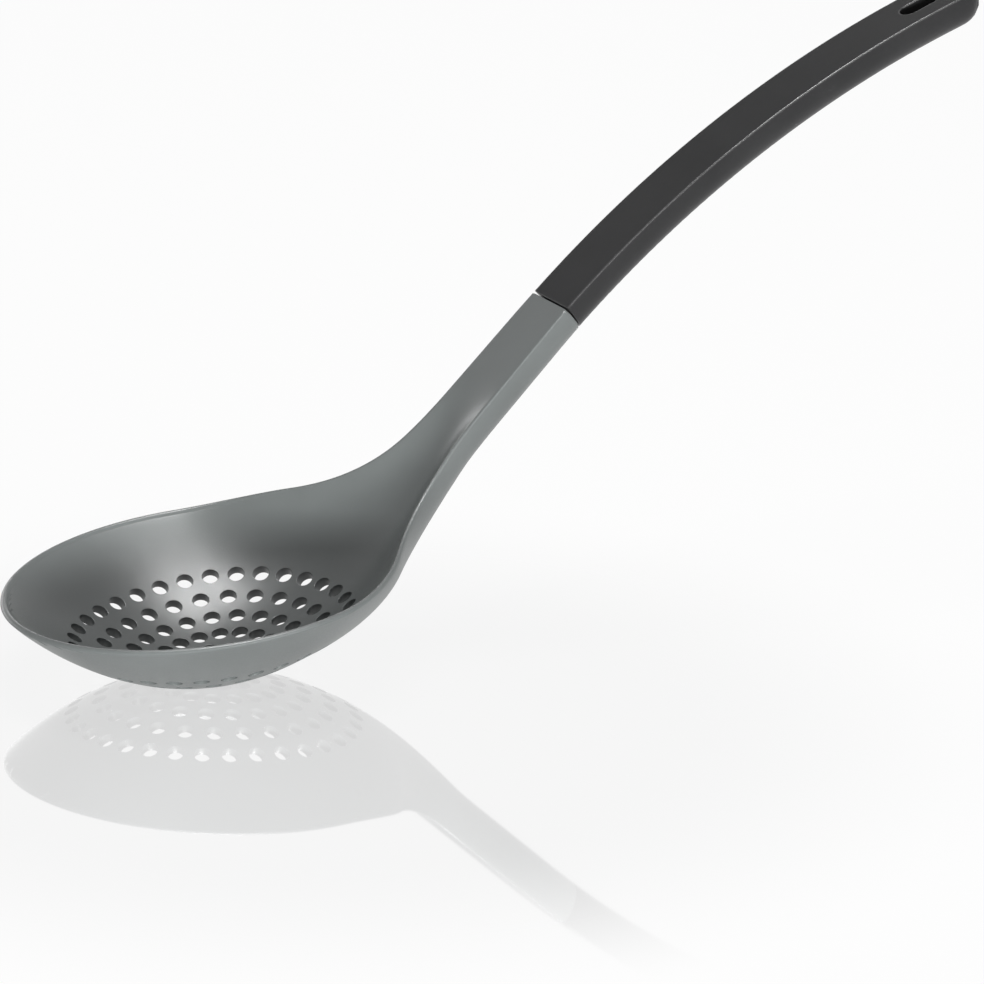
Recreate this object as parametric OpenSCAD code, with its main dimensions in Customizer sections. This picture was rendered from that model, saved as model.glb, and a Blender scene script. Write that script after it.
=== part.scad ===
// Perforated serving spoon. The bowl and neck are one nylon moulding, whose tang is locked in the handle.
// The handle is a rigid core moulded round the tang, under a black grip skin with a hanging slot.
// Lengths are in millimetres. The shapes are drawn in the bowl's own frame, with the rim level, the tip at
// the origin and the handle towards +X, and are then tilted and set down on the bowl's floor.

/* [Bowl] */
// Length of the oval that the rim follows
bowl_length = 114; // [90:1:150]
// Width over the rim
bowl_width = 106; // [90:0.5:125]
// Depth from the rim to the outside of the floor
bowl_depth = 29; // [22:0.5:36]
// Thickness of the floor
floor_t = 2.6; // [1.8:0.1:4]
// Thickness of the wall under the rounded rim
rim_t = 2.2; // [1.4:0.1:3]
// Height of the rim's rounding
rim_round = 1; // [0.6:0.1:1.4]

/* [Drain holes] */
// Diameter of a drain hole
hole_d = 4.5; // [3:0.25:5]
// Width of the outermost ring of holes, between centres
pattern_w = 67.5; // [60:0.5:76]
// Sideways step from one ring of holes to the next
ring_step = 6.35; // [5.75:0.05:6.7]
// How far the middle of the pattern lies behind the middle of the bowl
pattern_back = 1; // [0:0.25:4]
// Number of holes in each ring round the middle hole, from the outermost inwards
ring_counts = [33, 25, 21, 18, 10]; // [4:1:36]

/* [Neck] */
// Length behind the middle of the bowl at which the rim starts to rise
heel_back = 15.5; // [8:0.5:30]
// Radius at which the rim line rises into the neck
heel_radius = 92; // [70:1:140]
// Slope of the straight neck above the rim
neck_angle = 37.5; // [20:0.5:50]
// Length of the straight neck
neck_length = 45; // [30:1:70]
// Length of neck beyond the straight that already follows the handle's curve
neck_bend = 9; // [5:1:30]
// Width of the neck where the bowl's shoulders end
neck_w = 20.5; // [18:0.5:26]
// Length before the oval's end at which the shoulders leave the oval
shoulder_in = 12; // [8:0.5:20]
// Length over which the shoulders draw in to the neck
shoulder_length = 53; // [35:1:65]
// Length before the oval's end at which the belly leaves the dome of the bowl
belly_in = 46; // [30:1:54]
// Length over which the belly rises to the neck's depth
belly_length = 72; // [50:1:85]
// Length over which the scoop of the bowl fades into the flat top of the neck
scoop_length = 97; // [75:1:115]
// Rounding of the neck's upper edges
neck_round = 0.5; // [0.3:0.1:0.8]

/* [Handle] */
// Length of the handle along its curved top
handle_length = 157.5; // [110:0.5:200]
// Radius of the handle's curved top
handle_radius = 355; // [260:5:600]
// Width of the handle at the seam
handle_w = 19; // [17:0.25:26]
// Width of the handle before its round end
handle_end_w = 18.5; // [16:0.25:24]
// Depth of the handle and neck below their flat top
handle_depth = 11.5; // [10:0.1:16]
// Length of the rounding at the handle's end
end_round = 7.5; // [4:0.25:8]
// Width of the open groove between neck and grip
seam_gap = 0.8; // [0.4:0.1:0.95]
// Thickness of the grip skin at the handle's narrow end
skin_t = 1.8; // [1.2:0.05:2.5]

/* [Hanging slot] */
// Width of the slot
slot_w = 6; // [4.5:0.25:7]
// Length of the slot over its round ends
slot_length = 16.5; // [10:0.5:24]
// Length of handle left between the slot and the end
slot_from_end = 7.5; // [5:0.25:12]

/* [Tang] */
// Length of the tang inside the handle
tang_length = 74; // [40:1:90]
// Thickness of the tang
tang_t = 3.6; // [2.5:0.1:4.2]
// Core left beside and above the tang
core_wall = 2.5; // [1.5:0.1:3]
// Diameter of the tang's locking holes
lock_d = 4; // [2.5:0.25:4.5]
// Number of locking holes
lock_count = 2; // [1:1:4]
// Clearance between pieces that are moulded on to each other
bond_gap = 0.1; // [0.05:0.05:0.2]

/* [Stance] */
// Angle by which the rim dips towards the handle as the spoon is set down on its bowl
stand_dip = 2.5; // [0:0.5:12]

/* [Hidden] */
$fn = 48;
// Facets of a full turn of the handle's curve and of the core's round side
sweep_fn = 180;
round_fn = 96;

// Length by which every cut runs past what it cuts
overrun = 1;
// Least wall that a ring of drain holes keeps between its holes and round the middle hole
hole_web = 0.6;
// Powers of an arch: of the bowl's dome outside and inside, and of a plain ellipse
dome_share = 0.94;
hollow_share = 1.05;
ellipse_share = 0.5;
// Length of a hole ring compared with its width, and each ring's turn from the handle's side, in steps
ring_stretch_share = 1.155;
ring_turn_shares = [0.11, 0.04, 0.95, 0.08, 0.1];
// Depth left at the very end of the handle, compared with the full depth
end_depth_share = 0.45;

// Steps from the tip to the middle of the bowl, from there to the seam, along the handle and round its end
tip_steps = 14;
back_steps = 30;
grip_steps = 22;
end_steps = 8;
// Steps across the outside and the inside of a section, and over the rim between them
belly_steps = 26;
scoop_steps = 22;
rim_steps = 6;
// Halvings of the range in which a place on the bowl's inside is looked for
place_tries = 24;

// The rim's oval and the hollow inside it
oval_a = bowl_length / 2;
oval_b = bowl_width / 2;
hollow_a = oval_a - rim_t;
hollow_b = oval_b - rim_t;
hollow_depth = bowl_depth - floor_t;

// Places along the top line, measured from the tip: a level rim, the heel's curve, the straight neck, the
// handle's curve, the seam and the handle's end
heel_at = oval_a + heel_back;
neck_at = heel_at + heel_radius * neck_angle * PI / 180;
curve_at = neck_at + neck_length;
seam_at = curve_at + neck_bend;
end_at = seam_at + handle_length;
shoulder_at = bowl_length - shoulder_in;
slim_at = shoulder_at + shoulder_length;
belly_at = bowl_length - belly_in;
slot_at = end_at - slot_from_end - slot_length / 2;

// Ends of the heel's curve and of the straight neck, and the middle of the handle's curve
heel_end = [heel_at + heel_radius * sin(neck_angle), heel_radius * (1 - cos(neck_angle))];
neck_end = heel_end + neck_length * [cos(neck_angle), sin(neck_angle)];
curve_mid = neck_end + handle_radius * [sin(neck_angle), -cos(neck_angle)];

// Slope and place of the top line at a length s from the tip
function curve_slope(s) = neck_angle - (s - curve_at) / handle_radius * 180 / PI;
function slope(s) =
    s <= heel_at ? 0 :
    s <= neck_at ? (s - heel_at) / heel_radius * 180 / PI :
    s <= curve_at ? neck_angle : curve_slope(s);
function top_line(s) =
    s <= heel_at ? [s, 0] :
    s <= neck_at ? [heel_at + heel_radius * sin(slope(s)), heel_radius * (1 - cos(slope(s)))] :
    s <= curve_at ? heel_end + (s - neck_at) * [cos(neck_angle), sin(neck_angle)] :
    curve_mid + handle_radius * [-sin(slope(s)), cos(slope(s))];
// Point of the section at s, y to the side and up above the top line
function at_section(s, y, up) =
    let (p = top_line(s), k = slope(s)) [p[0] - up * sin(k), y, p[1] + up * cos(k)];

// Curve from value v0 with slope m0 to value v1 with slope m1 over a length
function blend(t, length, v0, m0, v1, m1) =
    (1 + 2 * t) * pow(1 - t, 2) * v0 + t * pow(1 - t, 2) * length * m0
    + t * t * (3 - 2 * t) * v1 - t * t * (1 - t) * length * m1;
function ease(t) = t <= 0 ? 0 : t >= 1 ? 1 : t * t * (3 - 2 * t);
// Height of an arch of half-length a and its slope, at a distance d from its middle
function arch(d, a, height, power) = height * pow(max(0, 1 - pow(d / a, 2)), power);
function arch_slope(d, a, height, power) =
    -2 * height * power * d / (a * a) * pow(1 - pow(d / a, 2), power - 1);

// Half-width of neck and handle, which draws in evenly from the shoulders to the seam and on to the end
function slim_half(s) =
    s <= seam_at
    ? (neck_w + (handle_w - neck_w) * (s - slim_at) / (seam_at - slim_at)) / 2
    : (handle_w + (handle_end_w - handle_w) * (s - seam_at) / handle_length) / 2;
function half_width(s) =
    s <= shoulder_at ? arch(s - oval_a, oval_a, oval_b, ellipse_share) :
    s >= slim_at ? slim_half(s) :
    blend((s - shoulder_at) / shoulder_length, shoulder_length,
        arch(shoulder_at - oval_a, oval_a, oval_b, ellipse_share),
        arch_slope(shoulder_at - oval_a, oval_a, oval_b, ellipse_share),
        neck_w / 2, (handle_w - neck_w) / 2 / (seam_at - slim_at));
// The rim's rounding fades into the neck's rounded edges: half its thickness, its height outside and inside
function fade(s) = ease((s - heel_at) / (slim_at - heel_at));
function rim_half_t(s) = rim_t / 2 + (neck_round - rim_t / 2) * fade(s);
function outer_round(s) = rim_round + (neck_round - rim_round) * fade(s);
function inner_round(s) = rim_round * (1 - fade(s));

// Depth of the outside under the rim's rounding, and of the hollow under it
outer_full = bowl_depth - rim_round;
hollow_full = hollow_depth - rim_round;
function outer_depth(s) =
    s <= belly_at ? arch(s - oval_a, oval_a, outer_full, dome_share) :
    s >= belly_at + belly_length ? handle_depth - neck_round :
    blend((s - belly_at) / belly_length, belly_length,
        arch(belly_at - oval_a, oval_a, outer_full, dome_share),
        arch_slope(belly_at - oval_a, oval_a, outer_full, dome_share), handle_depth - neck_round, 0);
function scoop_depth(s) =
    s <= belly_at ? arch(s - oval_a, hollow_a, hollow_full, hollow_share) :
    s >= belly_at + scoop_length ? 0 :
    blend((s - belly_at) / scoop_length, scoop_length,
        arch(belly_at - oval_a, hollow_a, hollow_full, hollow_share),
        arch_slope(belly_at - oval_a, hollow_a, hollow_full, hollow_share), 0, 0);
function outer_power(s) = dome_share + (ellipse_share - dome_share) * ease((s - belly_at) / belly_length);
function inner_half(s) =
    s <= oval_a ? arch(s - oval_a, hollow_a, hollow_b, ellipse_share) : half_width(s) - 2 * rim_half_t(s);

// Under and upper side of a section, from -Y to +Y and back, below a rounding
function belly_points(s, half, round, depth, power) =
    [for (i = [0:belly_steps]) let (f = -90 + 180 * i / belly_steps)
        at_section(s, half * sin(f), -round - depth * pow(max(0, cos(f)), 2 * power))];
function scoop_points(s, half) =
    [for (i = [0:scoop_steps]) let (f = 90 - 180 * i / scoop_steps)
        at_section(s, half * sin(f),
            -inner_round(s) - scoop_depth(s) * pow(max(0, cos(f)), 2 * hollow_share))];

// One closed ring of the head: u runs from 0 at the tip to 1 at the middle of the bowl, and to 2 at the seam.
// The rim is rounded from its outside, at j = 0, over its top to its inside
function outer_place(u) = u <= 1 ? oval_a * (1 - cos(90 * u)) : oval_a + (seam_at - oval_a) * (u - 1);
function inner_place(u) = u <= 1 ? oval_a - hollow_a * cos(90 * u) : outer_place(u);
function rim_point(u, side, j) =
    let (s = outer_place(u), g = 180 * j / rim_steps, d = rim_half_t(s) * (1 - cos(g)),
        drop = (g <= 90 ? outer_round(s) : inner_round(s)) * (1 - sin(g)))
    u <= 1
    ? at_section(oval_a - (oval_a - d) * cos(90 * u), side * (oval_b - d) * sin(90 * u), -drop)
    : at_section(s, side * (half_width(s) - d), -drop);
function head_ring(u) =
    let (s = outer_place(u), t = inner_place(u), half = u <= 1 ? hollow_b * sin(90 * u) : inner_half(t))
    concat(belly_points(s, half_width(s), outer_round(s), outer_depth(s), outer_power(s)),
        [for (j = [1:rim_steps - 1]) rim_point(u, 1, j)],
        scoop_points(t, half),
        [for (j = [1:rim_steps - 1]) rim_point(u, -1, rim_steps - j)]);
head_stations = concat(
    [for (i = [1:tip_steps]) i / tip_steps],
    [for (i = [1:back_steps]) 1 + i / back_steps]);
head_points = concat(
    [for (j = [0:rim_steps]) rim_point(0, 1, j)],
    [for (u = head_stations) each head_ring(u)]);

// Triangles between rings of count points, the first of which starts at index first
function tube_faces(first, count, rings) =
    [for (r = [0:rings - 2], i = [0:count - 1])
        let (a = first + r * count + i, b = first + r * count + (i + 1) % count)
        each [[a, a + count, b], [b, a + count, b + count]]];
function head_faces() =
    let (first = rim_steps + 1, under = first + belly_steps, over = under + rim_steps,
        count = belly_steps + scoop_steps + 2 * rim_steps, last = first + (len(head_stations) - 1) * count)
    concat(
        [for (i = [first:under - 1]) [0, i, i + 1]],
        [for (i = [over:over + scoop_steps - 1]) [rim_steps, i, i + 1]],
        [for (j = [0:rim_steps - 1]) each [[j, under + j, j + 1], [j + 1, under + j, under + j + 1]]],
        [for (j = [0:rim_steps - 1]) let (a = over + scoop_steps + rim_steps - 1 - j,
            b = j == 0 ? first : a + 1)
            each [[j + 1, a, j], [j, a, b]]],
        tube_faces(first, count, len(head_stations)),
        [[for (i = [0:count - 1]) last + (floor(belly_steps / 2) + count - i) % count]]);

// The grip's rings: an even run, then a round end
round_at = end_at - end_round;
grip_start = seam_at + seam_gap;
grip_stations = concat(
    [for (i = [0:grip_steps]) grip_start + (round_at - grip_start) * i / grip_steps],
    [for (i = [1:end_steps]) round_at + end_round * sin(90 * i / end_steps)]);
function round_off(s) = s <= round_at ? 1 : sqrt(max(0, 1 - pow((s - round_at) / end_round, 2)));
function grip_ring(s) =
    let (half = slim_half(s) - end_round * (1 - round_off(s)),
        depth = handle_depth * (end_depth_share + (1 - end_depth_share) * round_off(s)))
    belly_points(s, half, 0, depth, ellipse_share);
grip_points = [for (s = grip_stations) each grip_ring(s)];
function grip_faces() =
    let (count = belly_steps + 1, last = (len(grip_stations) - 1) * count)
    concat([[for (i = [0:count - 1]) i]], tube_faces(0, count, len(grip_stations)),
        [[for (i = [0:count - 1]) last + count - 1 - i]]);

// Sizes of core and tang, which follow the grip
core_r = handle_end_w / 2 - skin_t;
core_start = seam_at + bond_gap;
core_end = slot_at - slot_length / 2 - skin_t;
tang_w = 2 * (core_r - core_wall);
tang_top = skin_t + core_wall / 2;

// The stance: the tilted head is set down on its lowest point, and the spoon is centred along X and Y
function tilted(p) =
    let (c = cos(stand_dip), n = sin(stand_dip)) [p[0] * c + p[2] * n, p[1], p[2] * c - p[0] * n];
lowest = min([for (p = head_points) tilted(p)[2]]);
nearest = min([for (p = head_points) tilted(p)[0]]);
farthest = max([for (p = grip_points) tilted(p)[0]]);
module standing() {
    translate([-(nearest + farthest) / 2, 0, -lowest]) rotate([0, stand_dip, 0]) children();
}

// Sweeps a profile along the handle's curve, from length s0 to s1. The profile's X is up, its Y to the side
module along_curve(s0, s1) {
    turn = (s1 - s0) / handle_radius * 180 / PI;
    translate([curve_mid[0], 0, curve_mid[1]]) rotate([90, 0, 0])
        rotate_extrude(angle = turn, start = 90 + curve_slope(s1), $fn = sweep_fn)
            translate([handle_radius, 0]) children();
}
// Puts things at a length s along the top line, with X along it and Z square to it
module at_place(s) {
    p = at_section(s, 0, 0);
    translate(p) rotate([0, -slope(s), 0]) children();
}

// The hanging slot, right through the handle
module slot_form() {
    reach = (slot_length - slot_w) / 2;
    at_place(slot_at) translate([0, 0, -handle_depth - overrun]) {
        for (side = [-1, 1]) translate([side * reach, 0, 0])
            cylinder(d = slot_w, h = handle_depth + 2 * overrun);
        translate([-reach, -slot_w / 2, 0]) cube([2 * reach, slot_w, handle_depth + 2 * overrun]);
    }
}

// The locking posts or holes, evenly spread along the tang
module locks(d) {
    for (i = [1:lock_count])
        at_place(seam_at + tang_length * i / (lock_count + 1))
            translate([0, 0, -tang_top - tang_t - overrun / 2]) cylinder(d = d, h = tang_t + overrun);
}

// The tang's bar, grown all round, from a length s0
module tang_form(s0, grow) {
    along_curve(s0, seam_at + tang_length + grow)
        translate([-tang_top - tang_t - grow, -tang_w / 2 - grow])
            square([tang_t + 2 * grow, tang_w + 2 * grow]);
}

// The core's outside, grown all round: a half round bar with a flat top, which ends before the slot
module core_form(s0, grow) {
    along_curve(s0, core_end + grow) intersection() {
        translate([-skin_t, 0]) circle(r = core_r + grow, $fn = round_fn);
        translate([-handle_depth + skin_t - grow, -handle_w / 2])
            square([handle_depth - 2 * skin_t + 2 * grow, handle_w]);
    }
}

// Point of the bowl's inside over x and y, looked for between the lengths s0 and s1, and the slope there
function inner_point(s, y) =
    at_section(s, y, -inner_round(s)
        - scoop_depth(s) * pow(max(0, 1 - pow(y / inner_half(s), 2)), hollow_share));
function inner_over(x, y, s0, s1, tries) =
    let (s = (s0 + s1) / 2, p = inner_point(s, y))
    tries == 0 ? p :
    p[0] > x ? inner_over(x, y, s0, s, tries - 1) : inner_over(x, y, s, s1, tries - 1);
function inside(x, y) = inner_over(x, y, x - bowl_depth, x + overrun, place_tries);
function inside_slope(x, y) =
    [inside(x + overrun, y)[2] - inside(x - overrun, y)[2],
        inside(x, y + overrun)[2] - inside(x, y - overrun)[2]] / (2 * overrun);

// Half-width of a ring of drain holes, and the number of holes in it, up to what it has room for
function ring_half(ring) = pattern_w / 2 - ring * ring_step;
function ring_count(ring) =
    let (b = ring_half(ring), pitch = hole_d + hole_web)
    b < pitch ? 0 : min(ring_counts[ring], floor(PI * b * (1 + ring_stretch_share) / pitch));

// Drain holes, square to the bowl's inside: oval rings round the middle of the pattern
module drain_hole(x, y) {
    k = inside_slope(x, y);
    translate(inside(x, y)) rotate([0, atan(norm(k)), atan2(-k[1], -k[0])])
        translate([0, 0, -2 * floor_t]) cylinder(d = hole_d, h = 2 * floor_t + overrun);
}
module drain_holes() {
    mid = oval_a + pattern_back;
    drain_hole(mid, 0);
    for (ring = [0:len(ring_counts) - 1], i = [0:1:ring_count(ring) - 1]) {
        b = ring_half(ring);
        f = 360 * (i + ring_turn_shares[ring]) / ring_count(ring);
        drain_hole(mid + b * ring_stretch_share * cos(f), b * sin(f));
    }
}

module spoon_head() {
    color("#6c7070") standing() difference() {
        union() {
            polyhedron(head_points, head_faces(), convexity = 6);
            tang_form(seam_at - overrun, 0);
        }
        drain_holes();
        locks(lock_d);
    }
}

module handle_core() {
    color("#2c2c2d") standing() union() {
        difference() {
            core_form(core_start, 0);
            tang_form(seam_at - overrun, bond_gap);
        }
        locks(lock_d - 2 * bond_gap);
    }
}

module handle_skin() {
    color("#363637") standing() difference() {
        polyhedron(grip_points, grip_faces(), convexity = 4);
        core_form(seam_at - overrun, bond_gap);
        slot_form();
    }
}

spoon_head();
handle_core();
handle_skin();
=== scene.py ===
"""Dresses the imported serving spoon: its drained nylon head, its black grip, and the studio round them.

Shapes are worked out in millimetres in the bowl's own frame, with the rim level, the tip at the origin and
the handle towards +X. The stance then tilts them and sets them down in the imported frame, in metres.
"""

import logging
import math
from dataclasses import dataclass
from enum import Enum

import bmesh
import bpy
import numpy as np
from mathutils import Matrix, Vector
from mathutils.geometry import delaunay_2d_cdt

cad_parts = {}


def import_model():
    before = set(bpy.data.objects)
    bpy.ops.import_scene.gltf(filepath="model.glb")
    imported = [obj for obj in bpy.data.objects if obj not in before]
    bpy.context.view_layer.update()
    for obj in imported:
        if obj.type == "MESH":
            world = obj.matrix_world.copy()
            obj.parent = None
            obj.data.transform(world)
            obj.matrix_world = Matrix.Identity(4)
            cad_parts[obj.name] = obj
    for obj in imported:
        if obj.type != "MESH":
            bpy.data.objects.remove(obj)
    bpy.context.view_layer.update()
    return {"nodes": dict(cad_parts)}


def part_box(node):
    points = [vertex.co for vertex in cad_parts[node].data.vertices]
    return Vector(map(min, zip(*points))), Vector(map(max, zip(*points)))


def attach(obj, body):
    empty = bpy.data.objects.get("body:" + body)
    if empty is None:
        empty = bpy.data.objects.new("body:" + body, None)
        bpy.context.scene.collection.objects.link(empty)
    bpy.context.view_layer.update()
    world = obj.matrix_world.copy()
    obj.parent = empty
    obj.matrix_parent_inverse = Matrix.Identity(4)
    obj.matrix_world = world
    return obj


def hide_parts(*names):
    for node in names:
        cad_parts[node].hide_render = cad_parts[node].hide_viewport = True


LOG = logging.getLogger("serving_spoon")
MM = 0.001
# Name of the mesh attribute that is 1 on rounded edges
EDGE = "edge"
# Rise of the rim towards the handle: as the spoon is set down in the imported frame, and as it was photographed
STAND_TILT = math.radians(-2.5)
PHOTO_TILT = math.radians(5.5)
# Power that makes an arch a plain ellipse
ELLIPSE = 0.5
# Least length that anything is divided by, in millimetres
LEAST = 1e-3
# Kind of triangulation that keeps all its triangles, and how far apart its points must lie
ALL_TRIANGLES = 0
POINT_GAP = 1e-7
WHITE = (1.0, 1.0, 1.0, 1.0)

Array = np.ndarray
Pair = tuple[float, float]
Triple = tuple[float, float, float]


def ease(t: Array) -> Array:
    """Return a soft step from 0 to 1 for t from 0 to 1."""
    t = np.clip(t, 0.0, 1.0)
    return t * t * (3.0 - 2.0 * t)


def blend(t: Array, length: float, start: Pair, end: Pair) -> Array:
    """Join two curves smoothly.

    Args:
        t: Share of the way, from 0 to 1.
        length: Length of the way.
        start: Value and slope at the start.
        end: Value and slope at the end.

    Returns:
        The value at each t.
    """
    t = np.clip(t, 0.0, 1.0)
    return (
        (1 + 2 * t) * (1 - t) ** 2 * start[0]
        + t * (1 - t) ** 2 * length * start[1]
        + t * t * (3 - 2 * t) * end[0]
        - t * t * (1 - t) * length * end[1]
    )


def arch(d: Array, reach: float, height: float, power: float) -> Array:
    """Return the height of an arch at a distance d from its middle."""
    return height * np.maximum(0.0, 1.0 - (d / reach) ** 2) ** power


def arch_start(d: float, reach: float, height: float, power: float) -> Pair:
    """Return the height and the slope of the same arch at a distance d from its middle."""
    slope = -2 * height * power * d / reach**2 * (1.0 - (d / reach) ** 2) ** (power - 1)
    return float(arch(d, reach, height, power)), slope


def inside_loop(points: Array, loop: Array) -> Array:
    """Say which points lie inside a closed loop.

    Args:
        points: Points in a plane, one per row.
        loop: Corners of the loop, one per row.

    Returns:
        One truth value per point.
    """
    after = np.roll(loop, -1, axis=0)
    x, y = points[:, :1], points[:, 1:]
    over = (loop[:, 1] > y) != (after[:, 1] > y)
    rise = np.where(after[:, 1] == loop[:, 1], 1.0, after[:, 1] - loop[:, 1])
    cross = loop[:, 0] + (y - loop[:, 1]) / rise * (after[:, 0] - loop[:, 0])
    return np.sum(over & (x < cross), axis=1) % 2 == 1


def nearest(points: Array, others: Array) -> Array:
    """Return each point's distance to the nearest of the others."""
    gap = points[:, None, :] - others[None, :, :]
    return np.sqrt((gap**2).sum(axis=2)).min(axis=1)


def arc(a: Array, e: Array, b: Array, t: float) -> Array:
    """Return the points at a share t of the roundings from a to b over the corners e."""
    return (1 - t) ** 2 * a + 2 * t * (1 - t) * e + t * t * b


def put(name: str, data: bpy.types.ID) -> bpy.types.Object:
    """Put a new object with a mesh, a lamp or a camera in the scene, and return it."""
    thing = bpy.data.objects.new(name, data)
    bpy.context.scene.collection.objects.link(thing)
    return thing


def put_mesh(name: str, bm: bmesh.types.BMesh) -> bpy.types.Object:
    """Put a new object in the scene with a mesh that is then no longer needed, and return it."""
    mesh = bpy.data.meshes.new(name)
    bm.to_mesh(mesh)
    bm.free()
    return put(name, mesh)


@dataclass(frozen=True)
class TopLine:
    """The line along the top of the spoon: level rim, heel, straight neck and the handle's bow."""

    oval_length: float = 114.0
    heel_back: float = 15.5
    heel_radius: float = 92.0
    neck_angle: float = math.radians(37.5)
    neck_length: float = 45.0
    neck_bend: float = 9.0
    handle_radius: float = 355.0
    handle_length: float = 157.5

    @property
    def heel_at(self) -> float:
        """Length from the tip at which the rim starts to rise."""
        return self.oval_length / 2 + self.heel_back

    @property
    def curve_at(self) -> float:
        """Length from the tip at which the handle's bow starts."""
        return self.heel_at + self.heel_radius * self.neck_angle + self.neck_length

    @property
    def seam_at(self) -> float:
        """Length from the tip at which the neck ends."""
        return self.curve_at + self.neck_bend

    @property
    def end_at(self) -> float:
        """Length from the tip at which the handle ends."""
        return self.seam_at + self.handle_length

    def slope(self, s: Array) -> Array:
        """Return the slope of the line at lengths s from the tip."""
        rise = np.clip((s - self.heel_at) / self.heel_radius, 0.0, self.neck_angle)
        return rise - np.maximum(s - self.curve_at, 0.0) / self.handle_radius

    def place(self, s: Array, y: Array, up: Array) -> Array:
        """Find points of the sections square to the line.

        Args:
            s: Lengths from the tip.
            y: Distances to the side.
            up: Heights above the line.

        Returns:
            One point per row, in the bowl's frame.
        """
        s = np.asarray(s, float)
        bend = np.clip((s - self.heel_at) / self.heel_radius, 0.0, self.neck_angle)
        run = np.clip(s - self.curve_at + self.neck_length, 0.0, self.neck_length)
        k = self.slope(s)
        bow = np.where(s > self.curve_at, self.handle_radius, 0.0)
        cos_n, sin_n = math.cos(self.neck_angle), math.sin(self.neck_angle)
        x = np.minimum(s, self.heel_at) + self.heel_radius * np.sin(bend)
        x = x + run * cos_n + bow * (sin_n - np.sin(k))
        z = self.heel_radius * (1 - np.cos(bend)) + run * sin_n + bow * (np.cos(k) - cos_n)
        return np.stack([x - up * np.sin(k), y + 0 * s, z + up * np.cos(k)], axis=-1)


@dataclass(frozen=True)
class Stance:
    """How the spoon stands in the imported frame.

    Attributes:
        tilt: Rise of the rim towards the handle.
        shift: Place of the tip along X.
        lift: Height of the tip.
    """

    tilt: float
    shift: float
    lift: float

    def turned(self, points: Array) -> Array:
        """Return points of the bowl's frame, tilted about the tip."""
        c, n = math.cos(self.tilt), math.sin(self.tilt)
        x, y, z = points[..., 0], points[..., 1], points[..., 2]
        return np.stack([x * c - z * n, y, x * n + z * c], axis=-1)

    def stood(self, points: Array) -> Array:
        """Return points of the bowl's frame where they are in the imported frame, in metres."""
        return (self.turned(points) + np.array([self.shift, 0.0, self.lift])) * MM


class Side(Enum):
    """The two sheets of a moulding."""

    TOP = 1
    UNDER = -1


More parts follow.
